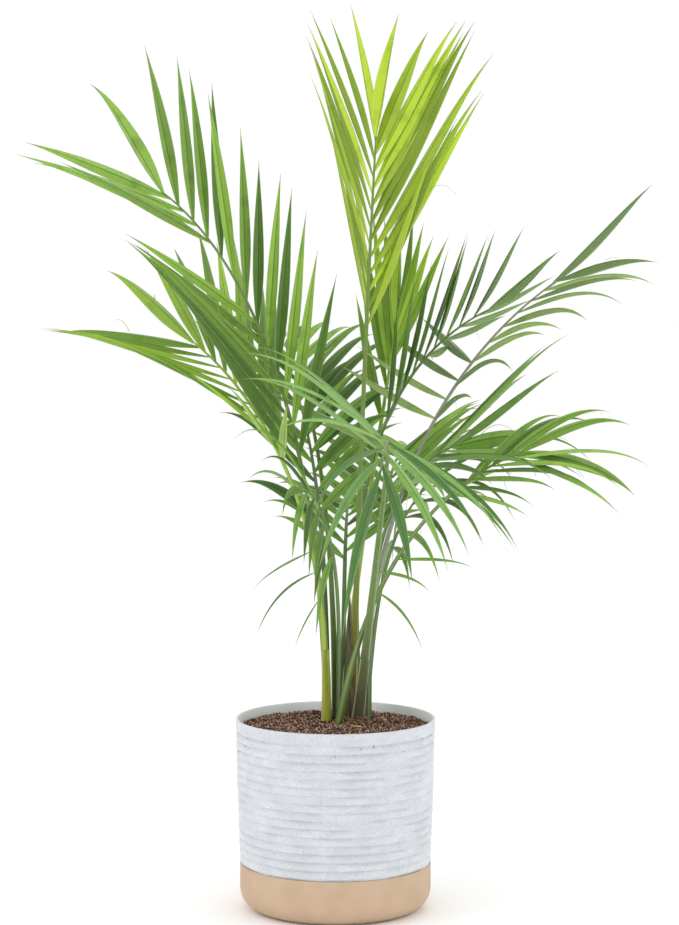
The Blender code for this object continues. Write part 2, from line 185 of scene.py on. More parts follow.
SUNLIT = Tint("sunlit", "#B2CE22", "#628206", "#CEDE78", "#6C8840", "#A89A36")
LIME = Tint("lime", "#A2C634", "#4A7608", "#B0C870", "#93B038", "#ABAC38")
GREEN = Tint("green", "#8AB23C", "#325A08", "#A0BA78", "#627F32", "#5A6C2E")
SHELTERED = Tint("sheltered", "#82AC54", "#30601C", "#98B87C", "#6A8440", "#5E5644")
PALE = Tint("pale", "#8CA850", "#50702C", "#B4C0A6", "#8A8A76", "#867F62")
DEEP = Tint("deep", "#729C38", "#284C0A", "#94AE74", "#5A7640", "#54623A")

FRONDS = (
    Frond("spear", (22.5, 42), 5.2, 49, 6, 87.5, 3, 1.35, 763, 0.66, (-19, -36), SUNLIT,
          right=Side(12, (12, 31, 25, 29, 25), (-7, -28, -39, -36, -41), (245, 300, 325, 265, 165),
                     0.1, -50, 17),
          left=Side(12, (39, 38, 34, 32, 30), (-62, -54, -49, -48, -54), (355, 330, 330, 295, 185),
                    0, 21, 14),
          slot="young_leaf"),
    Frond("upper_left", (-10, 29), 5.4, 142, -9, 86.4, 60, 1.83, 800, 0.41, (52, 65), GREEN,
          right=Side(13, (31, 31, 31, 30, 37, 43), (35, 35, 25, 27, 15, 6),
                     (245, 255, 220, 260, 250, 250), 0.12, 37, 15),
          left=Side(14, (45, 36, 38, 22, 22, 23), (68, 52, 45, 30, 25, 21),
                    (300, 290, 210, 235, 275, 290), 0.12, 20, 14),
          slot="leaf"),
    Frond("low_left", (-12, 12), 6.5, 179, -40, 90.5, 61.6, 1.64, 560, 0.615, (-1, 43), LIME,
          right=Side(10, (50, 43, 36, 36, 27, 20), (-6, -6, -7, -11, -17, -23),
                     (330, 330, 330, 325, 250, 225), 0.19, -32, 15),
          left=Side(10, (73, 59, 46, 46, 37, 37), (37, 22, 11, 12, 3, -21),
                    (160, 185, 215, 240, 250, 195), 0.13, -20, 13),
          slot="young_leaf", sheath="left"),
    Frond("upper_right", (33.5, 31), 5.6, 20, -1, 86.4, 54, 1.42, 662, 0.53, (-4, -36), PALE,
          right=Side(9, (77, 69, 62, 55, 43, 42), (13, 31, 28, 28, 27, 15),
                     (130, 160, 175, 140, 155, 140), 0.7, -10, 14, crowd=0.6),
          left=Side(11, (87, 84, 82, 74, 51, 30), (56, 23, 3, -17, -33, -33),
                    (240, 190, 185, 195, 230, 295), 0, -41, 15),
          slot="pale_leaf"),
    Frond("low_right", (3, -10), 6.5, 338, -11, 78, 59, 1.46, 470, 0.73, (-21, -44), GREEN,
          right=Side(8, (45, 34, 22, 16, 58), (-24, -19, -16, -12, -21), (180, 150, 195, 225, 175),
                     0.48, -50, 14),
          left=Side(7, (81, 65, 52, 37, 29), (-15, -6, 3, -2, -12), (125, 140, 165, 145, 150),
                    0.77, -46, 13),
          slot="leaf", slim=0.85),
    Frond("front", (28, 8), 7.6, 291, -29, 70.3, 104.5, 2.46, 630, 0.67, (46, 31), SHELTERED,
          right=Side(8, (80, 66, 50, 20, 14), (-2, 2, 2, 8, 3), (195, 215, 235, 250, 260),
                     0.6, 12, 14),
          left=Side(8, (62, 57, 44, 34, 24), (13, 13, 14, 13, 14), (215, 235, 200, 190, 185),
                    0.76, -33, 16),
          slot="leaf", sheath="right", slim=0.7),
    Frond("mid_right", (32, 67), 4.5, 59, -54, 94.5, 69, 1.97, 600, 0.64, (40, 40), DEEP,
          right=Side(10, (31, 29, 28, 37, 53), (14, 18, 26, 26, 8), (175, 185, 170, 150, 130),
                     0, 50, 13),
          left=Side(8, (54, 61, 54, 44, 22), (14, 14, 14, 14, 32), (255, 195, 155, 160, 115), 0, 25, 12),
          slot="leaf"),
    Frond("inner_right", (43, 17), 4.3, 346, -9, 89.5, 67, 2.87, 400, 0.8, (-16, -40), DEEP,
          right=Side(7, (83, 65, 46, 29, 20), (25, 7, -2, -10, -26), (270, 255, 250, 250, 170),
                     0.46, -44, 16),
          left=Side(7, (89, 68, 44, 30, 19), (-3, -11, -10, 4, 22), (195, 200, 225, 230, 140),
                    0.19, 30, 15),
          slot="leaf"),
    Frond("inner_upright", (11, 47), 5.4, 80, -36, 68.6, -10.6, 1.9, 550, 0.74, (2, 3), LIME,
          right=Side(7, (26, 30, 24, 9), (2, 6, 14, 23), (250, 225, 160, 145), 0, 41, 14),
          left=Side(7, (21, 18, 9, 8), (13, 20, 34, 57), (330, 260, 190, 110), 0, -25, 14),
          slot="young_leaf"),
    Frond("droop_left", (4, 16), 4.4, 227, 25, 91.5, 86, 2.92, 360, 0.61, (51, 83), DEEP,
          right=Side(6, (86, 69, 49, 19), (-20, -6), (175, 210, 145, 90), 1.17, 4, 11),
          left=Side(6, (89, 71, 53, 28), (-25, 14), (145, 140, 120, 155), 1.07, -39, 11),
          slot="dark_leaf", slim=0.8),
    Frond("droop_right", (40, 58), 4.3, 18, -10, 84.5, 42.4, 2.91, 330, 0.65, (9, 2), DEEP,
          right=Side(6, (88, 81, 67, 54), (-3, -8), (145, 210, 230, 240), 0.98, -15, 11),
          left=Side(6, (105, 84, 63, 49), (3, -8), (225, 250, 260, 240), 1.17, -10, 11),
          slot="dark_leaf", slim=0.8),
    Frond("back_left", (0, 40), 5.0, 106, 0, 87, 74, 1.7, 610, 0.52, (-10, -10), GREEN,
          right=BACK_LONG,
          left=BACK_LONG,
          slot="leaf"),
    Frond("back_right", (44, 76), 4.4, 78, 0, 86, 90, 1.4, 500, 0.52, (10, 10), GREEN,
          right=BACK_LONG,
          left=BACK_LONG,
          slot="leaf"),
    Frond("back_side", (-10, 46), 4.3, 109, 0, 88, 48, 2.0, 465, 0.55, (0, 0), DEEP,
          right=BACK_SHORT,
          left=BACK_SHORT,
          slot="leaf"),
    Frond("back_low", (10, 66), 4.3, 88, 0, 82, 93, 1.4, 420, 0.52, (0, 0), DEEP,
          right=BACK_SHORT,
          left=BACK_SHORT,
          slot="leaf"),
)


# Narrow leaflets that hang from the stalks: the stalk, the share of its frond's length, compass angle
# and rise of the first stretch, length in millimetres, sag and width in millimetres
HANGING = (
    ("low_left", 0.35, 186, -18, 122, 2.2, 6.5),
    ("low_left", 0.29, 200, -50, 78, 1.2, 5.0),
    ("low_left", 0.40, 178, -22, 98, 0.6, 5.5),
    ("inner_right", 0.49, 350, 2, 80, 1.0, 7.0),
    ("inner_right", 0.43, 346, -22, 110, 2.4, 6.5),
    ("low_right", 0.50, 350, 6, 102, 0.45, 7.5),
)


class Spine:
    """The curve of a frond's stalk and rib, walked in short steps from its foot."""

    def __init__(self, frond):
        self.frond = frond
        self.length = frond.length * MM
        self.points = [Vector((frond.foot[0] * MM, frond.foot[1] * MM, SOIL_TOP + GAP))]
        for step in range(SPINE_STEPS):
            tangent = self.frame((step + 0.5) / SPINE_STEPS)[0]
            self.points.append(self.points[-1] + tangent * (self.length / SPINE_STEPS))

    def point(self, share):
        place = min(max(share, 0.0), 1.0) * SPINE_STEPS
        step = min(int(place), SPINE_STEPS - 1)
        return self.points[step].lerp(self.points[step + 1], place - step)

    def frame(self, share):
        """Tangent, sideways direction and upper face's normal of the blade at a share of the length."""
        frond = self.frond
        heading = math.radians(frond.heading + frond.swing * share)
        slope = math.radians(frond.rise - frond.droop * share ** frond.bend)
        along = max(share - frond.stalk, 0.0) / (1.0 - frond.stalk)
        roll = math.radians(blend(*frond.turn, along))
        flat = Vector((math.cos(heading), math.sin(heading), 0.0))
        tangent = flat * math.cos(slope) + UP * math.sin(slope)
        level = Vector((math.sin(heading), -math.cos(heading), 0.0))
        above = level.cross(tangent)
        side = level * math.cos(roll) + above * math.sin(roll)
        return tangent, side, side.cross(tangent)

    def share_at_height(self, height):
        """The first share of the length at which the spine is this high above its foot."""
        for step, point in enumerate(self.points):
            if point.z - self.points[0].z >= height:
                return step / SPINE_STEPS
        return 1.0


def stalk_radius(frond, share):
    """Radius of a stalk, which flares towards its foot."""
    left = max(1.0 - share / frond.stalk, 0.0)
    return STALK_END_RADIUS + (frond.foot_radius * MM - STALK_END_RADIUS) * left ** FLARE_POWER


def stalk_start(spine):
    """Share of the length where the stalk starts: at the soil, or above the sheath that carries it."""
    if not spine.frond.sheath:
        return 0.0
    return spine.share_at_height(SHEATH_HEIGHT) + GAP / spine.length


def blade_start(spine):
    return spine.frond.stalk - BARE_RIB / spine.length


def rib_radius(spine, share):
    first = blade_start(spine)
    return blend(STALK_END_RADIUS, RIB_TIP_RADIUS, (share - first) / (1.0 - first))


def value_at(values, share):
    """A value at a share of the blade, from values spaced evenly along it."""
    place = share * (len(values) - 1)
    low = min(int(place), len(values) - 2)
    return blend(values[low], values[low + 1], place - low)


@dataclass
class Course:
    """How one leaflet leaves the rib and runs."""

    root: Vector
    start: Vector
    breadth: Vector
    length: float
    sag: float
    width: float
    hand: int  # 1 on the right side of the frond, -1 on the left one
    along: float
    seed: str

    def direction(self, share, tip_droop):
        last = max(share - TIP_FROM, 0.0) / (1.0 - TIP_FROM)
        pull = self.sag * share ** SAG_POWER + tip_droop * last ** 2
        return (self.start - UP * pull).normalized()

    def walk(self, steps, length, tip_droop=0.0, twist=0.0):
        """Points and directions, and the sideways and upward directions, along the leaflet."""
        point = self.root.copy()
        rows = []
        for step in range(steps + 1):
            if step:
                point = point + self.direction((step - 0.5) / steps, tip_droop) * (length / steps)
            direction = self.direction(step / steps, tip_droop)
            across = (self.breadth - direction * self.breadth.dot(direction)).normalized()
            across.rotate(Matrix.Rotation(twist * step / steps, 3, direction))
            rows.append((point, direction, across, direction.cross(across) * self.hand))
        return rows


def leaflet_course(spine, along, hand, seed):
    chance = random.Random(seed)
    frond = spine.frond
    side = frond.right if hand > 0 else frond.left
    share = blend(frond.stalk, 1.0, along)
    tangent, level, above = spine.frame(share)
    closing = max(0.0, (along - CLOSING_FROM) / (1.0 - CLOSING_FROM)) ** 2
    spread = math.radians(value_at(side.spread, along) + chance.uniform(-2.0, 2.0))
    spread *= 1.0 - CLOSING * closing
    lift = math.radians(value_at(side.lift, along) + chance.uniform(-3.0, 3.0))
    length = value_at(side.length, along) * MM * chance.uniform(0.94, 1.06)
    sag = side.sag * chance.uniform(0.75, 1.25)
    louver = math.radians(side.louver + chance.uniform(-8.0, 8.0)) * (1.0 - closing)
    width = side.width * MM * (1.0 + WIDER_LAST * closing)
    outward = level * (hand * math.cos(lift)) + above * math.sin(lift)
    start = tangent * math.cos(spread) + outward * math.sin(spread)
    breadth = tangent - start * tangent.dot(start)
    breadth.rotate(Matrix.Rotation(hand * louver, 3, start))
    return Course(spine.point(share), start, breadth, length, sag, width, hand, along, seed)


def place_leaflets(spine):
    """A frond's leaflets and the share of its length that each one keeps, read off its solid's tips."""
    frond = spine.frond
    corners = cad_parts[f"frond_{frond.name}"].data.vertices
    tips = KDTree(len(corners))
    for number, corner in enumerate(corners):
        tips.insert(corner.co, number)
    tips.balance()
    kept = []
    for hand, side in ((1, frond.right), (-1, frond.left)):
        for index in range(side.count):
            along = ((index + (0.5 if hand > 0 else 0.0)) / (side.count - 0.5)) ** side.crowd
            course = leaflet_course(spine, along, hand, f"{frond.name} {hand} {index}")
            for tried in LENGTH_TRIES:
                tip = course.walk(LEAFLET_STEPS, course.length * tried)[-1][0]
                if tips.find(tip)[2] < TIP_NEAR:
                    kept.append((course, tried))
                    break
    return kept


@dataclass
class Guides:
    """Lines for the cross-sections to follow, with what each of their points carries."""

    points: list = field(default_factory=list)
    edges: list = field(default_factory=list)
    upward: list = field(default_factory=list)
    values: dict = field(default_factory=lambda: {
        "half": [], "along": [], "place": [], "tone": [], "rib": []})

    def add(self, rows, tone=0.5, rib=True):
        """Adds one line from rows of point, upward direction, half width, share along it and place."""
        first = len(self.points)
        for point, upward, half, along, place in rows:
            self.points.append(point)
            self.upward.extend(upward)
            for name, value in zip(self.values, (half, along, place, tone, float(rib))):
                self.values[name].append(value)
        self.edges += [(first + i, first + i + 1) for i in range(len(rows) - 1)]

    def mesh(self):
        made = bpy.data.meshes.new("guides")
        made.from_pydata(self.points, self.edges, [])
        made.attributes.new("upward", "FLOAT_VECTOR", "POINT").data.foreach_set("vector", self.upward)
        for name, values in self.values.items():
            store_values(made, name, values)
        return made


def node(tree, kind, inputs=None, output=0, **settings):
    """Adds a node and gives one of its outputs. Inputs are values or sockets, by name or number."""
    made = tree.nodes.new(kind)
    for name, value in settings.items():
        setattr(made, name, value)
    for socket, value in (inputs or {}).items():
        if isinstance(value, bpy.types.NodeSocket):
            tree.links.new(value, made.inputs[socket])
        else:
            made.inputs[socket].default_value = value
    return made.outputs[output]


def maths(tree, operation, *values):
    """A sum worked out in the tree, from values or sockets."""
    return node(tree, "ShaderNodeMath", dict(enumerate(values)), operation=operation)


def vector_maths(tree, operation, *values):
    return node(tree, "ShaderNodeVectorMath", dict(enumerate(values)), operation=operation)


def compared(tree, value, operation, limit):
    return node(tree, "FunctionNodeCompare", {"A": value, "B": limit}, operation=operation)


def stored(tree, name, kind="FLOAT"):
    """An attribute that the geometry carries."""
    return node(tree, "GeometryNodeInputNamedAttribute", {"Name": name}, "Attribute", data_type=kind)


def join(tree, *parts):
    joined = node(tree, "GeometryNodeJoinGeometry")
    for part in parts:
        tree.links.new(part, joined.node.inputs[0])
    return joined


def dress(tree, body, finish):
    """Makes plain, smooth geometry with a finish."""
    body = node(tree, "GeometryNodeRealizeInstances", {"Geometry": body})
    body = node(tree, "GeometryNodeSetShadeSmooth", {"Geometry": body})
    return node(tree, "GeometryNodeSetMaterial", {"Geometry": body, "Material": finish})


def deal(tree, body, operation, limit, finish):
    """Gives a finish to the parts whose tone lies on one side of a limit."""
    chosen = compared(tree, stored(tree, "tone"), operation, limit)
    return node(tree, "GeometryNodeSetMaterial",
                {"Geometry": body, "Selection": chosen, "Material": finish})


def geometry_tree(name, **inputs):
    """A Geometry Nodes tree, its inputs and its output. An input is given as its name and kind."""
    tree = bpy.data.node_groups.new(name, "GeometryNodeTree")
    tree.interface.new_socket("Geometry", in_out="INPUT", socket_type="NodeSocketGeometry")
    tree.interface.new_socket("Geometry", in_out="OUTPUT", socket_type="NodeSocketGeometry")
    for title, kind in inputs.items():
        tree.interface.new_socket(title.replace("_", " "), in_out="INPUT", socket_type=f"NodeSocket{kind}")
    return tree, tree.nodes.new("NodeGroupInput").outputs, tree.nodes.new("NodeGroupOutput").inputs[0]


def store_values(mesh, name, values):
    """Stores a number for each point of a mesh."""
    mesh.attributes.new(name, "FLOAT", "POINT").data.foreach_set("value", values)


def new_object(name, mesh):
    made = bpy.data.objects.new(name, mesh)
    bpy.context.scene.collection.objects.link(made)
    return made


def run_tree(name, mesh, tree, values):
    """A plain object from what a Geometry Nodes tree makes of a mesh."""
    source = new_object(f"{name}_source", mesh)
    modifier = source.modifiers.new("Nodes", "NODES")
    modifier.node_group = tree
    for item in tree.interface.items_tree:
        if item.in_out == "INPUT" and item.name in values:
            modifier[item.identifier] = values[item.name]
    graph = bpy.context.evaluated_depsgraph_get()
    made = bpy.data.meshes.new_from_object(source.evaluated_get(graph))
    bpy.data.objects.remove(source)
    bpy.data.meshes.remove(mesh)
    made.name = name
    return new_object(name, made)


def outwards(mesh):
    """Turns every closed shell's faces outwards."""
    shell = bmesh.new()
    shell.from_mesh(mesh)
    bmesh.ops.recalc_face_normals(shell, faces=shell.faces)
    shell.to_mesh(mesh)
    shell.free()


def finish_piece(piece, slot, *nodes):
    """Attaches a piece to the root and hides the solids it stands for. The slot is not used."""
    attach(piece, "root")
    if nodes:
        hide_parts(*nodes)


def swept_piece(name, guides, tree, values, slot, *nodes):
    """A finished piece from cross-sections swept along guides."""
    piece = run_tree(name, guides.mesh(), tree, values)
    outwards(piece.data)
    finish_piece(piece, slot, *nodes)


def section(name, corners):
    """A closed cross-section: rows of height above the line, place across it, and under-face share."""
    mesh = bpy.data.meshes.new(name)
    count = len(corners)
    mesh.from_pydata([(up, across, 0.0) for up, across, under in corners],
                     [(i, (i + 1) % count) for i in range(count)], [])
    for column, title in ((1, "across"), (2, "under")):
        store_values(mesh, title, [corner[column] for corner in corners])
    return new_object(name, mesh)


def sweep_tree():
    """Sweeps one cross-section along the leaflets' guides and another along the ribs'."""
    tree, given, result = geometry_tree(
        "Feather blade", Leaflet_section="Object", Rib_section="Object", Width="Float",
        Light_finish="Material", Middle_finish="Material", Dark_finish="Material", Rib_finish="Material")
    chosen = compared(tree, stored(tree, "rib"), "GREATER_THAN", 0.5)
    ribs = node(tree, "GeometryNodeSeparateGeometry", {"Geometry": given["Geometry"], "Selection": chosen})
    leaflets = ribs.node.outputs["Inverted"]
    half = stored(tree, "half")
    wide = maths(tree, "MULTIPLY", half, given["Width"])
    upward = stored(tree, "upward", "FLOAT_VECTOR")
    chart = node(tree, "ShaderNodeCombineXYZ", {"X": stored(tree, "across"), "Y": stored(tree, "along")})
    bodies = []
    for lines, part, finish, size in ((leaflets, "Leaflet section", "Middle finish", wide),
                                      (ribs, "Rib section", "Rib finish", half)):
        line = node(tree, "GeometryNodeMeshToCurve", {"Mesh": lines})
        line = node(tree, "GeometryNodeSetCurveNormal", {"Curve": line, "Normal": upward}, mode="FREE")
        shape = node(tree, "GeometryNodeObjectInfo", {"Object": given[part]}, "Geometry")
        shape = node(tree, "GeometryNodeMeshToCurve", {"Mesh": shape})
        body = node(tree, "GeometryNodeCurveToMesh",
                    {"Curve": line, "Profile Curve": shape, "Scale": size, "Fill Caps": True})
        body = node(tree, "GeometryNodeStoreNamedAttribute",
                    {"Geometry": body, "Name": "UVMap", "Value": chart},
                    data_type="FLOAT2", domain="CORNER")
        bodies.append(dress(tree, body, given[finish]))
    bodies[0] = deal(tree, bodies[0], "GREATER_THAN", LIGHT_TONE, given["Light finish"])
    bodies[0] = deal(tree, bodies[0], "LESS_THAN", DARK_TONE, given["Dark finish"])
    tree.links.new(join(tree, *bodies), result)
    return tree


def leaflet_half(share):
    """Half width of a leaflet along its length: a narrow foot, a long taper and a thread-like tip."""
    if share < WIDEST_AT:
        return blend(0.2, 1.0, math.sin(share / WIDEST_AT * math.pi / 2))
    past = (share - WIDEST_AT) / (1.0 - WIDEST_AT)
    return max(math.cos(past * math.pi / 2) ** 1.15, 0.03)


def folded_section(settings):
    """A leaflet's cross-section: two halves folded down from a raised midrib."""
    fall = math.tan(math.radians(settings.fold))
    thick = settings.thickness * MM / USUAL_HALF_WIDTH
    top = [(0.10 - abs(x) * fall - 0.10 * min(abs(x) / 0.1, 1.0) * 0.6, x, 0.0)
           for x in (1.0, 0.75, 0.45, 0.2, 0.07, 0.0, -0.07, -0.2, -0.45, -0.75, -1.0)]
    below = [(0.10 - abs(x) * fall - 0.06 - thick - 0.05 * max(0.15 - abs(x), 0.0) / 0.15, x, 1.0)
             for x in (-0.97, -0.5, -0.12, 0.12, 0.5, 0.97)]
    return section("leaflet_section", top + below)


def grooved_section(name, groove, corners=16):
    """A stalk's cross-section: round below, with a shallow channel along its upper face."""
    rows = []
    for corner in range(corners):
        angle = math.tau * corner / corners
        depth = groove * max(math.cos(angle), 0.0) ** 3
        rows.append(((1.0 - depth) * math.cos(angle), math.sin(angle), 0.5 - 0.5 * math.cos(angle)))
    return section(name, rows)


def rib_rows(spine, first, last, radius_at, spacing=9.0 * MM):
    """Rows of a guide along the spine between two shares of its length."""
    steps = max(math.ceil((last - first) * spine.length / spacing), 2)
    rows = []
    for step in range(steps + 1):
        share = blend(first, last, step / steps)
        place = min(share / spine.frond.stalk, 1.0)
        rows.append((spine.point(share), spine.frame(share)[2], radius_at(share), step / steps, place))
    return rows


def leaflet_rows(course, tried, steps=34):
    """Rows of a guide along one leaflet, with a little droop and twist of its own."""
    chance = random.Random(f"{course.seed} shape")
    droop = chance.uniform(0.0, 0.25) * (1.0 + course.sag)
    twist = math.radians(chance.uniform(-25.0, 25.0))
    rows = []
    walked = course.walk(steps, course.length * tried, droop, twist)
    for step, (point, direction, across, upper) in enumerate(walked):
        share = step / steps
        rows.append((point, upper, course.width / 2 * leaflet_half(share), share, course.along))
    return rows


def thread_rows(course, tried):
    """Rows of a guide for the fine pale thread that peels off the edge of some leaflets, or none."""
    chance = random.Random(f"{course.seed} thread")
    if chance.random() > THREAD_CHANCE:
        return []
    walked = course.walk(10, course.length * tried)
    point, direction, across, upper = walked[chance.randint(3, 6)]
    side = chance.choice((-1, 1))
    start = direction + across * side * chance.uniform(0.3, 0.9) + UP * chance.uniform(0.1, 0.6)
    start.normalize()
    length = chance.uniform(*THREAD_LENGTH)
    sag = chance.uniform(0.8, 2.2)
    point = point + across * (side * course.width * 0.3)
    steps = 12
    rows = []
    for step in range(steps + 1):
        share = step / steps
        rows.append((point, upper, THREAD_HALF * (1.0 - 0.6 * share), share, course.along))
        point = point + (start - UP * sag * share).normalized() * (length / steps)
    return rows


def mixed(tree, factor, first, second):
    """A colour between two: each is a hex colour, a linear one or a socket."""
    colors = [linear(color) if isinstance(color, str) else color for color in (first, second)]
    return node(tree, "ShaderNodeMix", {0: factor, 6: colors[0], 7: colors[1]}, 2,
                data_type="RGBA", clamp_factor=True)


def stepped(tree, value, low, high, to_low=0.0, to_high=1.0, kind="SMOOTHSTEP"):
    """A value's rise from one level to another, limited, and smoothed unless it is linear."""
    return node(tree, "ShaderNodeMapRange", {
        "Value": value, "From Min": low, "From Max": high, "To Min": to_low, "To Max": to_high},
        interpolation_type=kind)


def attribute(tree, name):
    return node(tree, "ShaderNodeAttribute", output="Fac", attribute_name=name)


def new_material(name, roughness, specular):
    """A Principled material with its constants set on the shader: itself, its tree and its shader."""
    made = bpy.data.materials.new(name)
    made.use_nodes = True
    shader = made.node_tree.nodes["Principled BSDF"]
    shader.inputs["Roughness"].default_value = roughness
    shader.inputs["Specular IOR Level"].default_value = specular
    return made, made.node_tree, shader


def coat(tree, shader, color, height, strength, distance):
    """Gives a shader its colour and a fine bump."""
    tree.links.new(color, shader.inputs["Base Color"])
    bump = node(tree, "ShaderNodeBump", {"Height": height, "Strength": strength, "Distance": distance})
    tree.links.new(bump, shader.inputs["Normal"])


def let_light_in(shader, weight, radius, scale):
    """Lets light through a leaf or stalk: green goes furthest."""
    shader.inputs["Subsurface Weight"].default_value = weight
    shader.inputs["Subsurface Radius"].default_value = radius
    shader.inputs["Subsurface Scale"].default_value = scale


def grain(tree, size, detail=3.0, stretch=(1.0, 1.0, 1.0)):
    """Noise whose features are about this many metres across, in object space."""
    place = node(tree, "ShaderNodeTexCoord", output="Object")
    place = node(tree, "ShaderNodeMapping", {"Vector": place, "Scale": stretch})
    return node(tree, "ShaderNodeTexNoise", {"Vector": place, "Scale": 1.0 / size, "Detail": detail})


def leaf_finish(tint, level, share):
    """Waxy palm leaflet in one of a tint's tones, with parallel veins, pale edges, painted shade along the
    midrib and a dry tip.
    """
    made, tree, shader = new_material(f"Palm leaflet {tint.name} {level}", 0.45, 0.25)
    plain = tuple(blend(low, high, share) for low, high in zip(linear(tint.deep), linear(tint.fresh)))
    across = attribute(tree, "across")
    off_middle = maths(tree, "ABSOLUTE", across)
    veins = maths(tree, "SINE", maths(tree, "MULTIPLY", across, VEINS))
    color = mixed(tree, stepped(tree, veins, -0.2, 1.0, 0.0, 0.35), plain, tint.under)
    color = mixed(tree, stepped(tree, grain(tree, 30.0 * MM), 0.5, 0.75, 0.0, 0.35), color, tint.deep)
    color = mixed(tree, stepped(tree, off_middle, 0.78, 0.98, 0.0, 0.5), color, tint.under)
    color = mixed(tree, stepped(tree, attribute(tree, "under"), 0.3, 0.7, 0.0, 0.65), color, tint.under)
    # Painted shade: a darker strip along the midrib stands for the shade in the leaflet's fold.
    color = mixed(tree, stepped(tree, off_middle, 0.14, 0.05, 0.0, 0.6), color, tint.deep)
    color = mixed(tree, stepped(tree, attribute(tree, "along"), 0.86, 1.0, 0.0, 0.85), color, DRY_TIP)
    coat(tree, shader, color, veins, 0.3, 0.25 * MM)
    let_light_in(shader, 0.2, (0.6, 1.0, 0.1), 1.2 * MM)
    return made


def stalk_finish(frond):
    """Palm petiole: smooth waxy green, paler along its edges, browner and scurfy at the foot."""
    tint = frond.tint
    made, tree, shader = new_material(f"Palm stalk {frond.name}", 0.4, 0.45)
    streak = grain(tree, 5.0 * MM, 4.0, (1.0, 1.0, 0.06))
    color = mixed(tree, stepped(tree, attribute(tree, "place"), 0.0, 0.55), tint.foot, tint.stalk)
    color = mixed(tree, stepped(tree, streak, 0.45, 0.75, 0.0, 0.5), color, tint.deep)
    edge = maths(tree, "ABSOLUTE", attribute(tree, "across"))
    color = mixed(tree, stepped(tree, edge, 0.86, 1.0, 0.0, 0.45), color, tint.under)
    coat(tree, shader, color, streak, 0.3, 0.3 * MM)
    let_light_in(shader, 0.1, (0.6, 1.0, 0.2), 1.5 * MM)
    return made


def fibre_finish(name, dark, light):
    """Dry fibre of a dead sheath, rootlet or twig, in long streaks between two colours."""
    made, tree, shader = new_material(name, 0.85, 0.2)
    streak = grain(tree, 2.2 * MM, 5.0, (1.0, 1.0, 0.05))
    coat(tree, shader, mixed(tree, stepped(tree, streak, 0.3, 0.6), dark, light), streak, 0.8, 0.8 * MM)
    return made


def sheath_finish(frond):
    """Green leaf sheath: fine lengthwise streaks and thin papery brown margins."""
    tint = frond.tint
    made, tree, shader = new_material(f"Leaf sheath {frond.sheath}", 0.5, 0.35)
    streak = grain(tree, 3.0 * MM, 4.0, (1.0, 1.0, 0.05))
    color = mixed(tree, stepped(tree, attribute(tree, "place"), 0.0, 0.55), tint.foot, tint.stalk)
    color = mixed(tree, stepped(tree, streak, 0.4, 0.7, 0.0, 0.6), color, tint.deep)
    edge = maths(tree, "ABSOLUTE", attribute(tree, "across"))
    color = mixed(tree, stepped(tree, edge, 0.8, 0.97, 0.0, 0.85), color, PAPERY)
    coat(tree, shader, color, streak, 0.5, 0.5 * MM)
    return made


def glaze_finish(settings):
    """White speckled coat: satin, with faint grey clouds, fine dark flecks, painted shade in the hollows
    under the rib lips and an inside lifted by painted light.
    """
    made, tree, shader = new_material("Speckled white coat", 0.5, 0.4)
    wall, shade, inner = (with_alpha(color) for color in (
        settings.wall_color, settings.cloud_and_painted_shade_color, settings.painted_light_inner_color))
    cloud = grain(tree, 26.0 * MM, 4.0, (1.0, 1.0, 2.0))
    color = mixed(tree, stepped(tree, cloud, 0.3, 0.75, 0.35, 0.0), wall, shade)
    # Painted shade: the coat darkens towards the cloud colour in the hollow under each rib's lip.
    color = mixed(tree, stepped(tree, attribute(tree, "hollow"), 0.4, 1.0, 0.0, 0.45), color, shade)
    pits = stepped(tree, grain(tree, 1.5 * MM), 0.5, 0.66, 0.0, 0.45)
    color = mixed(tree, pits, color, "#A4A9AF")
    place = node(tree, "ShaderNodeTexCoord", output="Object")
    distance = node(tree, "ShaderNodeTexVoronoi", {"Vector": place, "Scale": 1.0 / (4.5 * MM)})
    chance = node(tree, "ShaderNodeSeparateXYZ", {0: distance.node.outputs["Color"]})
    fleck = maths(tree, "LESS_THAN", distance, stepped(tree, chance, 0.55, 1.0, 0.0, 0.16))
    color = mixed(tree, maths(tree, "MULTIPLY", fleck, 0.75), color, "#6E7175")
    # Painted light: the inside of the wall keeps its own white, made brighter and bluer than the outer coat
    # against its shade and the soil's brown bounce.
    color = mixed(tree, stepped(tree, attribute(tree, "inside"), 0.4, 0.6), color, inner)
    coat(tree, shader, color, grain(tree, 1.6 * MM), 0.35, 0.25 * MM)
    return made


def clay_finish(settings):
    """Bare tan base: matt and even, with a very fine sandy grain."""
    made, tree, shader = new_material("Matt tan base", 0.75, 0.25)
    color = mixed(tree, stepped(tree, grain(tree, 30.0 * MM), 0.3, 0.7),
                  with_alpha(settings.base_shade), with_alpha(settings.base_color))
    coat(tree, shader, color, grain(tree, 0.9 * MM), 0.2, 0.1 * MM)
    return made


def soil_finish(level, low, high):
    """Peat mix in one of its tones, from moist dark red-brown to dry tan shreds, with darker patches."""
    made, tree, shader = new_material(f"Peat potting mix {level}", 0.95, 0.2)
    fine = grain(tree, 2.0 * MM, 4.0)
    patches = stepped(tree, grain(tree, 13.0 * MM, 2.0), 0.47, 0.62, 0.0, 0.5)
    color = mixed(tree, stepped(tree, fine, 0.35, 0.65), with_alpha(low), with_alpha(high))
    coat(tree, shader, mixed(tree, patches, color, "#2A1913"), fine, 0.9, 0.8 * MM)
    return made


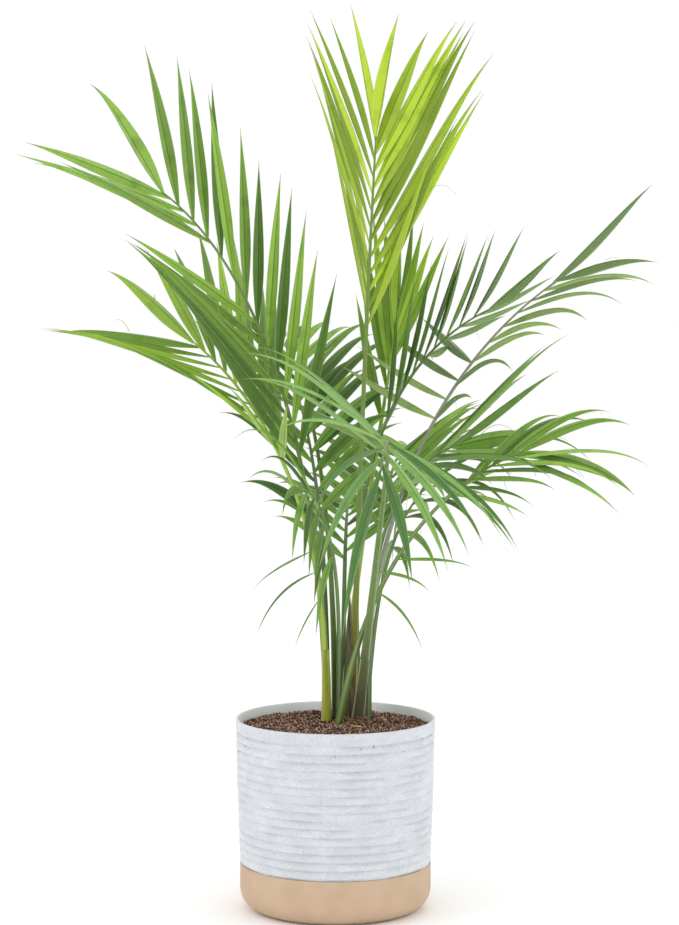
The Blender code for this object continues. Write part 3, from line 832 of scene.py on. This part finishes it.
def turned_mesh(name, outline, steps, inside=()):
    """A half outline of radius and height turned round the Z axis. It is closed, or ends on the axis."""
    vertices = []
    marks = []
    rows = []
    for number, (radius, height) in enumerate(outline):
        first = len(vertices)
        if radius == 0.0:
            rows.append([first] * steps)
            vertices.append((0.0, 0.0, height))
            marks.append(0.0)
            continue
        rows.append(range(first, first + steps))
        for step in range(steps):
            angle = math.tau * step / steps
            vertices.append((radius * math.cos(angle), radius * math.sin(angle), height))
            marks.append(float(number in inside))
    closed = outline[0][0] != 0.0
    faces = []
    for low, high in zip(rows, rows[1:] + rows[:1] if closed else rows[1:]):
        for step in range(steps):
            after = (step + 1) % steps
            faces.append(tuple(dict.fromkeys((low[step], low[after], high[after], high[step]))))
    mesh = bpy.data.meshes.new(name)
    mesh.from_pydata(vertices, [], faces)
    store_values(mesh, "inside", marks)
    outwards(mesh)
    return mesh


def rounded_corner(radius, steps):
    """The planter's lower corner, at a radius round its centre, from its side to its underside."""
    turns = [math.pi / 2 * step / steps for step in range(steps + 1)]
    return [(BASE_RADIUS - BASE_CORNER + radius * math.cos(turn), BASE_CORNER - radius * math.sin(turn))
            for turn in turns]


def wall_radius(height):
    """Outer radius of the planter's wall, which narrows downwards in a gentle curve."""
    down = (PLANTER_HEIGHT - height) / (PLANTER_HEIGHT - BASE_HEIGHT)
    return RIM_RADIUS - (RIM_RADIUS - BASE_RADIUS) * max(down, 0.0) ** 1.5


def lapped_tree():
    """Presses lapped ribs into a turned wall: each rib has a small lip and a hollow under it."""
    tree, given, result = geometry_tree("Lapped ribs", First_rib="Float", Pitch="Float", Depth="Float",
                                        Waver="Float", Seed="Float", Finish="Material")
    position = node(tree, "GeometryNodeInputPosition")

    def drifting(stretch, detail):
        """Noise over the wall that changes most upwards."""
        place = vector_maths(tree, "MULTIPLY", position, stretch)
        return node(tree, "ShaderNodeTexNoise", {
            "Vector": place, "W": given["Seed"], "Scale": 1.0, "Detail": detail}, noise_dimensions="4D")

    place = node(tree, "ShaderNodeSeparateXYZ", {0: position}).node.outputs
    arm = vector_maths(tree, "NORMALIZE", node(tree, "ShaderNodeCombineXYZ", {0: place[0], 1: place[1]}))
    shift = maths(tree, "SUBTRACT", drifting((7.0, 7.0, 60.0), 2.0), 0.5)
    shift = maths(tree, "MULTIPLY", shift, given["Waver"])
    down = maths(tree, "ADD", maths(tree, "SUBTRACT", given["First rib"], place[2]), shift)
    phase = maths(tree, "FRACT", maths(tree, "DIVIDE", down, given["Pitch"]))
    falls = stepped(tree, phase, 0.0, LIP_SHARE)
    rises = stepped(tree, phase, LIP_SHARE, 0.97, 1.0, 0.0, "LINEAR")
    uneven = stepped(tree, drifting((22.0, 22.0, 40.0), 3.0), 0.34, 0.6, 0.25, 1.2, "LINEAR")
    hollow = maths(tree, "MULTIPLY", maths(tree, "MULTIPLY", falls, rises), uneven)
    hollow = maths(tree, "MULTIPLY", hollow, maths(tree, "GREATER_THAN", down, 0.0))
    inward = maths(tree, "MULTIPLY", hollow, maths(tree, "MULTIPLY", given["Depth"], -1.0))
    offset = node(tree, "ShaderNodeVectorMath", {0: arm, "Scale": inward}, operation="SCALE")
    outer = compared(tree, stored(tree, "inside"), "LESS_THAN", 0.5)
    # The hollow's share is kept on the wall for its coat, which paints shade into the hollows.
    body = node(tree, "GeometryNodeStoreNamedAttribute", {
        "Geometry": given["Geometry"], "Selection": outer, "Name": "hollow", "Value": hollow},
        data_type="FLOAT", domain="POINT")
    body = node(tree, "GeometryNodeSetPosition", {"Geometry": body, "Selection": outer, "Offset": offset})
    tree.links.new(dress(tree, body, given["Finish"]), result)
    return tree


def crumb_tree():
    """Scatters crumbs over a bed, and keeps the bed under them."""
    tree, given, result = geometry_tree(
        "Crumbly mix", Per_square_metre="Float", Smallest="Float", Longest="Float", Thickest="Float",
        Seed="Int", Dark_finish="Material", Middle_finish="Material", Light_finish="Material")
    spots = node(tree, "GeometryNodeDistributePointsOnFaces", {
        "Mesh": given["Geometry"], "Selection": stored(tree, "open"),
        "Density": given["Per square metre"], "Seed": given["Seed"]})
    low = node(tree, "ShaderNodeCombineXYZ", dict.fromkeys(range(3), given["Smallest"]))
    high = node(tree, "ShaderNodeCombineXYZ",
                {0: given["Longest"], 1: given["Thickest"], 2: given["Thickest"]})
    size = node(tree, "FunctionNodeRandomValue", {0: low, 1: high, "Seed": given["Seed"]},
                data_type="FLOAT_VECTOR")
    spin = node(tree, "FunctionNodeRandomValue", {0: (0.0,) * 3, 1: (math.tau,) * 3, "Seed": 3},
                data_type="FLOAT_VECTOR")
    spin = node(tree, "FunctionNodeEulerToRotation", {0: spin})
    crumb = node(tree, "GeometryNodeMeshIcoSphere", {"Radius": 1.0, "Subdivisions": 1})
    place = node(tree, "GeometryNodeInputPosition")
    lumps = node(tree, "ShaderNodeTexNoise", {"Vector": place, "Scale": 1.3, "Detail": 1.0}, "Color")
    lumps = vector_maths(tree, "ADD", lumps, (-0.5,) * 3)
    crumb = node(tree, "GeometryNodeSetPosition", {"Geometry": crumb, "Offset": lumps})
    dealt = node(tree, "GeometryNodeInstanceOnPoints",
                 {"Points": spots, "Instance": crumb, "Rotation": spin, "Scale": size})
    tone = node(tree, "FunctionNodeRandomValue", {2: 0.0, 3: 1.0, "Seed": 11}, 1, data_type="FLOAT")
    dealt = node(tree, "GeometryNodeStoreNamedAttribute",
                 {"Geometry": dealt, "Name": "tone", "Value": tone}, data_type="FLOAT", domain="INSTANCE")
    body = dress(tree, join(tree, given["Geometry"], dealt), given["Dark finish"])
    body = deal(tree, body, "GREATER_THAN", DARK_TONE, given["Middle finish"])
    body = deal(tree, body, "GREATER_THAN", LIGHT_TONE, given["Light finish"])
    tree.links.new(body, result)
    return tree


def rootlet_rows(chance, point, length):
    """Rows of a guide for one thin root that arches over the soil."""
    turn = chance.uniform(0.0, math.tau)
    bend = chance.uniform(-1.5, 1.5)
    length *= chance.uniform(0.6, 1.2)
    rise = chance.uniform(0.3, 0.9)
    rows = []
    steps = 12
    for step in range(steps + 1):
        share = step / steps
        rows.append((point, UP, ROOTLET_HALF * (1.0 - 0.6 * share), share, share))
        slope = rise * math.cos(share * math.pi)
        way = Vector((math.cos(turn + bend * share), math.sin(turn + bend * share), slope)).normalized()
        point = point + way * (length / steps)
        point.z = max(point.z, SOIL_TOP + 0.5 * MM)
    return rows


def distance(name, description, default):
    return FloatProperty(name=name, description=description, default=default,
                         subtype="DISTANCE", unit="LENGTH")


def colour(name, description, default):
    return FloatVectorProperty(name=name, description=description, default=linear(default)[:3],
                               subtype="COLOR", min=0.0, max=1.0)


class PlanterSettings(bpy.types.PropertyGroup):
    steps: IntProperty(name="Steps round", description="Faces round the planter", default=224, min=48)
    first_rib: distance("First rib", "Height of the topmost rib's lip", PLANTER_HEIGHT - 15.0 * MM)
    pitch: distance("Rib pitch", "Distance from one rib to the next", 10.7 * MM)
    depth: distance("Rib depth", "How far the wall steps back under a lip", 1.8 * MM)
    waver: distance("Waver", "How far a rib strays up and down", 2.4 * MM)
    wall: distance("Wall", "Thickness of the wall", 3.0 * MM)
    wall_color: colour("Wall colour", "White coat on the ribs", "#DADDE2")
    # This colour is also the painted shade in the hollows under the rib lips.
    cloud_and_painted_shade_color: colour("Cloud colour", "Faint grey clouds in the coat", "#B3B9C0")
    # Brighter and bluer than the outer coat: painted light that lifts the shaded inside of the wall.
    painted_light_inner_color: colour("Inner colour", "Inside of the wall", "#F6FCFF")
    base_color: colour("Base colour", "Tan base", "#CBB197")
    base_shade: colour("Base shade", "Darker clouds in the base", "#C5AA8F")


class SoilSettings(bpy.types.PropertyGroup):
    density: FloatProperty(name="Crumbs per m2", description="Crumbs on each square metre of soil",
                           default=140000.0, min=0.0)
    smallest: distance("Smallest crumb", "Half the length of the smallest crumbs", 0.4 * MM)
    longest: distance("Longest shred", "Half the length of the longest shreds", 3.8 * MM)
    thickest: distance("Thickest crumb", "Half the thickness of the thickest crumbs", 1.3 * MM)
    dark_color: colour("Moist colour", "Moist peat", "#2C1C17")
    crumb_color: colour("Crumb colour", "Crumbs of peat", "#6B4A3D")
    shred_color: colour("Shred colour", "Shreds of peat and bark", "#96705E")
    dry_color: colour("Dry colour", "Dry crumbs and shreds", "#DCC4B2")


class FoliageSettings(bpy.types.PropertyGroup):
    fold: FloatProperty(name="Fold", description="Fall of each half of a leaflet, in degrees",
                        default=35.0, min=0.0, max=60.0)
    thickness: FloatProperty(name="Leaf thickness", description="Thickness of a leaflet, in millimetres",
                             default=0.5, min=0.1)
    width: FloatProperty(name="Leaflet width", description="Factor on every leaflet's width", default=1.0)
    groove: FloatProperty(name="Groove", description="Depth of a stalk's channel, as a share of its radius",
                          default=0.45, min=0.0, max=0.8)


class StageSettings(bpy.types.PropertyGroup):
    floor_color: FloatVectorProperty(name="Floor colour", description="Pale floor",
                                     default=(0.985, 0.985, 0.985), subtype="COLOR", min=0.0, max=1.0)
    sky: FloatProperty(name="Room light", description="Strength of the even light all round", default=1.02)
    key: FloatProperty(name="Key light", description="Power of the large soft light", default=15.0,
                       subtype="POWER", unit="POWER")


class PALM_OT_planter(bpy.types.Operator):
    """Ribbed white wall and plain tan base of the planter"""

    bl_idname = "palm.planter"
    bl_label = "Planter"

    def execute(self, context):
        settings = context.scene.palm_planter
        lowest = BASE_HEIGHT + GAP
        shoulder = PLANTER_HEIGHT - RIM_ROUND
        rows = int((PLANTER_HEIGHT - 2.0 * MM - lowest) / WALL_ROW)
        outline = [(RIM_RADIUS - RIM_ROUND, PLANTER_HEIGHT),
                   (RIM_RADIUS - 0.4 * MM, PLANTER_HEIGHT - 0.4 * MM), (RIM_RADIUS, shoulder)]
        for row in range(1, rows + 1):
            height = blend(shoulder, lowest, row / rows)
            outline.append((wall_radius(height), height))
        outer = len(outline)
        for row in range(12):
            height = blend(lowest, PLANTER_HEIGHT - 1.2 * MM, row / 11)
            outline.append((wall_radius(height) - settings.wall, height))
        outline.append((RIM_RADIUS - settings.wall + 0.5 * MM, PLANTER_HEIGHT - 0.3 * MM))
        mesh = turned_mesh("planter_wall", outline, settings.steps, range(outer, len(outline)))
        wall = run_tree("planter_wall", mesh, lapped_tree(), {
            "First rib": settings.first_rib, "Pitch": settings.pitch, "Depth": settings.depth,
            "Waver": settings.waver, "Seed": 4.0, "Finish": glaze_finish(settings)})
        finish_piece(wall, "white_planter", "planter_body")
        outline = [(0.0, 0.0), (50.0 * MM, 0.0), *rounded_corner(BASE_CORNER, 16)[::-1],
                   (BASE_RADIUS, (BASE_HEIGHT + BASE_CORNER) / 2), (BASE_RADIUS, BASE_HEIGHT - 0.5 * MM),
                   (BASE_RADIUS - 0.5 * MM, BASE_HEIGHT), (BASE_RADIUS - settings.wall, BASE_HEIGHT),
                   *rounded_corner(BASE_CORNER - settings.wall, 16), (0.0, settings.wall)]
        mesh = turned_mesh("planter_foot", outline, settings.steps)
        mesh.materials.append(clay_finish(settings))
        mesh.shade_smooth()
        finish_piece(new_object("planter_foot", mesh), "tan_planter", "planter_base")
        return {"FINISHED"}


class PALM_OT_soil(bpy.types.Operator):
    """Potting mix with its crumbs"""

    bl_idname = "palm.soil"
    bl_label = "Soil"

    def execute(self, context):
        settings = context.scene.palm_soil
        edge = SOIL_TOP - 6.0 * MM
        outline = [(radius * MM, SOIL_TOP) for radius in range(0, 88, 4)]
        for share in (step / 8 for step in range(1, 9)):
            outline.append((blend(85.0 * MM, wall_radius(edge) - SOIL_INSET, share),
                            blend(SOIL_TOP, edge, share)))
        outline += [(wall_radius(height) - SOIL_INSET, height) for height in (0.200, 0.130, BASE_HEIGHT)]
        outline += [*rounded_corner(BASE_CORNER - SOIL_INSET, 8), (0.0, SOIL_INSET)]
        mesh = turned_mesh("potting_mix", outline, 120)
        openness = []
        for vertex in mesh.vertices:
            is_top = vertex.co.z > edge - 0.1 * MM
            openness.append(float(is_top))
            if is_top:
                vertex.co.z += (noise.fractal(vertex.co * 55.0, 0.9, 2.0, 4) * 2.4 - 0.9) * MM
        store_values(mesh, "open", openness)
        soil = run_tree("potting_mix", mesh, crumb_tree(), {
            "Per square metre": settings.density, "Smallest": settings.smallest,
            "Longest": settings.longest, "Thickest": settings.thickest, "Seed": 5,
            "Dark finish": soil_finish("moist", settings.dark_color, settings.crumb_color),
            "Middle finish": soil_finish("crumbs", settings.crumb_color, settings.shred_color),
            "Light finish": soil_finish("shreds", settings.shred_color, settings.dry_color)})
        finish_piece(soil, "soil", "soil")
        return {"FINISHED"}


class PALM_OT_stems(bpy.types.Operator):
    """Leaf sheaths, the dry old stem, rootlets and a twig"""

    bl_idname = "palm.stems"
    bl_label = "Stems"

    def execute(self, context):
        tree = sweep_tree()
        profile = grooved_section("stem_section", 0.2, 20)

        def sweep(name, lines, finish, slot, *nodes):
            guides = Guides()
            for rows in lines:
                guides.add(rows)
            swept_piece(name, guides, tree, {"Rib section": profile, "Rib finish": finish}, slot, *nodes)

        for spine in map(Spine, FRONDS):
            frond = spine.frond
            if not frond.sheath:
                continue
            end = spine.share_at_height(SHEATH_HEIGHT)
            rows = [(point, SHEATH_BACK, *others) for point, upward, *others in rib_rows(
                spine, 0.0, end, lambda share: stalk_radius(
                    frond, share * (0.5 + 0.5 * (share / end) ** 3)), 4.0 * MM)]
            sweep(f"sheath_{frond.sheath}", [rows], sheath_finish(frond), "sheath", f"stem_{frond.sheath}")
        start = Vector((17.0 * MM, 28.0 * MM, SOIL_TOP + GAP))
        end = Vector((19.0 * MM, 31.0 * MM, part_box("stem_middle")[1].z))
        rows = []
        for share in (step / 40 for step in range(41)):
            half = OLD_STEM_HALF * (1.0 - share ** 2) + 0.15 * MM
            half *= 1.0 + 0.1 * noise.noise(Vector((share * 9.0, 0.0, 4.0)))
            rows.append((start.lerp(end, share), Vector((0.2, -1.0, 0.0)).normalized(), half, share, share))
        sweep("old_stem", [rows], fibre_finish("Dry palm fibre", "#453A2C", "#6F6E50"), "dry_fibre",
              "stem_middle")
        chance = random.Random("rootlets")
        lines = []
        for number in range(ROOTLETS):
            place = Vector((chance.uniform(6.0, 42.0) * MM, chance.uniform(-22.0, 4.0) * MM,
                            SOIL_TOP + 0.5 * MM))
            lines.append(rootlet_rows(chance, place, ROOTLET_LENGTH))
        sweep("rootlets", lines, fibre_finish("Brown rootlet", "#33211A", "#A08064"), "dry_fibre")
        fork = Vector((28.0 * MM, -42.0 * MM, SOIL_TOP + 1.5 * MM))
        lines = []
        for turn in (-0.9, 0.4, 2.0):
            rows = []
            for share in (step / 6 for step in range(7)):
                way = turn + share * 0.5
                arm = Vector((math.cos(way), math.sin(way), 0.35 - 0.5 * share))
                half = ROOTLET_HALF * (1.0 - 0.5 * share)
                rows.append((fork + arm * (9.0 * MM * share), UP, half, share, share))
            lines.append(rows)
        sweep("yellow_twig", lines, fibre_finish("Yellow twig", "#C9A545", "#E0C46A"), "dry_fibre")
        bpy.data.objects.remove(profile)
        return {"FINISHED"}


class PALM_OT_fronds(bpy.types.Operator):
    """Stalks, ribs and leaflets of all fronds"""

    bl_idname = "palm.fronds"
    bl_label = "Fronds"

    def execute(self, context):
        settings = context.scene.palm_foliage
        tree = sweep_tree()
        folded = folded_section(settings)
        grooved = grooved_section("stalk_section", settings.groove)
        leaf_finishes = {tint: {f"{level} finish": leaf_finish(tint, level.lower(), share)
                                for level, share in (("Light", 1.0), ("Middle", 0.55), ("Dark", 0.1))}
                         for tint in (SUNLIT, LIME, GREEN, SHELTERED, PALE, DEEP)}
        spines = {frond.name: Spine(frond) for frond in FRONDS}
        for name, spine in spines.items():
            frond = spine.frond
            values = {"Leaflet section": folded, "Rib section": grooved, "Rib finish": stalk_finish(frond),
                      "Width": settings.width * frond.slim, **leaf_finishes[frond.tint]}
            guides = Guides()
            guides.add(rib_rows(spine, stalk_start(spine), blade_start(spine) - GAP / spine.length,
                                lambda share: stalk_radius(frond, share)))
            swept_piece(f"petiole_{name}", guides, tree, values, "stalk", f"stalk_{name}")
            guides = Guides()
            guides.add(rib_rows(spine, blade_start(spine), 1.0, lambda share: rib_radius(spine, share)))
            for course, tried in place_leaflets(spine):
                tone = random.Random(f"{course.seed} tone").random()
                guides.add(leaflet_rows(course, tried), tone, rib=False)
                guides.add(thread_rows(course, tried), 1.0, rib=False)
            swept_piece(f"leaflets_{name}", guides, tree, values, frond.slot, f"frond_{name}")
        guides = Guides()
        for number, (name, share, heading, rise, length, sag, width) in enumerate(HANGING):
            flat = Vector((math.cos(math.radians(heading)), math.sin(math.radians(heading)), 0.0))
            start = flat * math.cos(math.radians(rise)) + UP * math.sin(math.radians(rise))
            course = Course(spines[name].point(share), start, UP.cross(flat) + UP * 0.5, length * MM, sag,
                            width * MM, 1, share, f"hanging {number}")
            guides.add(leaflet_rows(course, 1.0), 0.2 + 0.15 * number, rib=False)
        swept_piece("hanging_leaflets", guides, tree, {
            "Leaflet section": folded, "Width": settings.width, **leaf_finishes[DEEP]}, "dark_leaf")
        bpy.data.objects.remove(folded)
        bpy.data.objects.remove(grooved)
        return {"FINISHED"}


class PALM_OT_stage(bpy.types.Operator):
    """Pale floor, soft light and the camera"""

    bl_idname = "palm.stage"
    bl_label = "Stage"

    def execute(self, context):
        settings = context.scene.palm_stage
        scene = context.scene
        scene.view_settings.view_transform = "Standard"
        corners = [(FLOOR_HALF * x, FLOOR_HALF * y, -0.2 * MM)
                   for x, y in ((-1, -1), (1, -1), (1, 1), (-1, 1))]
        mesh = bpy.data.meshes.new("floor")
        mesh.from_pydata(corners, [], [(0, 1, 2, 3)])
        floor = new_object("floor", mesh)
        paint, tree, shader = new_material("Pale floor", 0.9, 0.1)
        shader.inputs["Base Color"].default_value = with_alpha(settings.floor_color)
        mesh.materials.append(paint)
        world = bpy.data.worlds.new("Soft room")
        world.use_nodes = True
        world.node_tree.nodes["Background"].inputs["Color"].default_value = (1.0, 1.0, 1.0, 1.0)
        world.node_tree.nodes["Background"].inputs["Strength"].default_value = settings.sky
        scene.world = world
        for name, place, size, power in (("key", (-2.5, -1.3, 2.3), 1.8, settings.key),
                                         ("fill", (2.6, -1.2, 1.9), 1.8, settings.key * 0.7),
                                         ("back", (0.4, 1.6, 2.8), 2.0, settings.key * 0.7)):
            lamp = bpy.data.lights.new(name, "AREA")
            lamp.shape = "DISK"
            lamp.size = size
            lamp.energy = power
            light = new_object(name, lamp)
            light.location = place
            aim = Vector((0.0, 0.0, 0.6)) - light.location
            light.rotation_euler = aim.to_track_quat("-Z", "Y").to_euler()
        lens = bpy.data.cameras.new("camera")
        lens.lens = CAMERA_LENS
        lens.sensor_width = 36.0
        lens.shift_x = 4.1 / 925
        camera = new_object("camera", lens)
        camera.location = (0.0, -3.484, 0.851)
        camera.rotation_euler = (math.radians(90.0 - CAMERA_TILT), 0.0, 0.0)
        scene.camera = camera
        return {"FINISHED"}


class PALM_PT_panel(bpy.types.Panel):
    """Lists the steps and their settings"""

    bl_idname = "PALM_PT_panel"
    bl_label = "Majesty Palm"
    bl_space_type = "VIEW_3D"
    bl_region_type = "UI"
    bl_category = "Palm"

    def draw(self, context):
        for operator, settings in STEPS:
            box = self.layout.box()
            box.operator(operator.bl_idname)
            group = getattr(context.scene, settings)
            for name in group.bl_rna.properties.keys():
                if name not in ("rna_type", "name"):
                    box.prop(group, name)


GROUPS = {"palm_planter": PlanterSettings, "palm_soil": SoilSettings, "palm_foliage": FoliageSettings,
          "palm_stage": StageSettings}
STEPS = ((PALM_OT_planter, "palm_planter"), (PALM_OT_soil, "palm_soil"), (PALM_OT_stems, "palm_foliage"),
         (PALM_OT_fronds, "palm_foliage"), (PALM_OT_stage, "palm_stage"))
CLASSES = (*GROUPS.values(), *(operator for operator, settings in STEPS), PALM_PT_panel)


def register():
    for cls in CLASSES:
        bpy.utils.register_class(cls)
    for name, group in GROUPS.items():
        setattr(bpy.types.Scene, name, PointerProperty(type=group))


def unregister():
    for name in GROUPS:
        delattr(bpy.types.Scene, name)
    for cls in reversed(CLASSES):
        bpy.utils.unregister_class(cls)


def main():
    register()
    bpy.ops.palm.planter()
    bpy.ops.palm.soil()
    bpy.ops.palm.stems()
    bpy.ops.palm.fronds()
    bpy.ops.palm.stage()


if __name__ == "__main__":
    main()
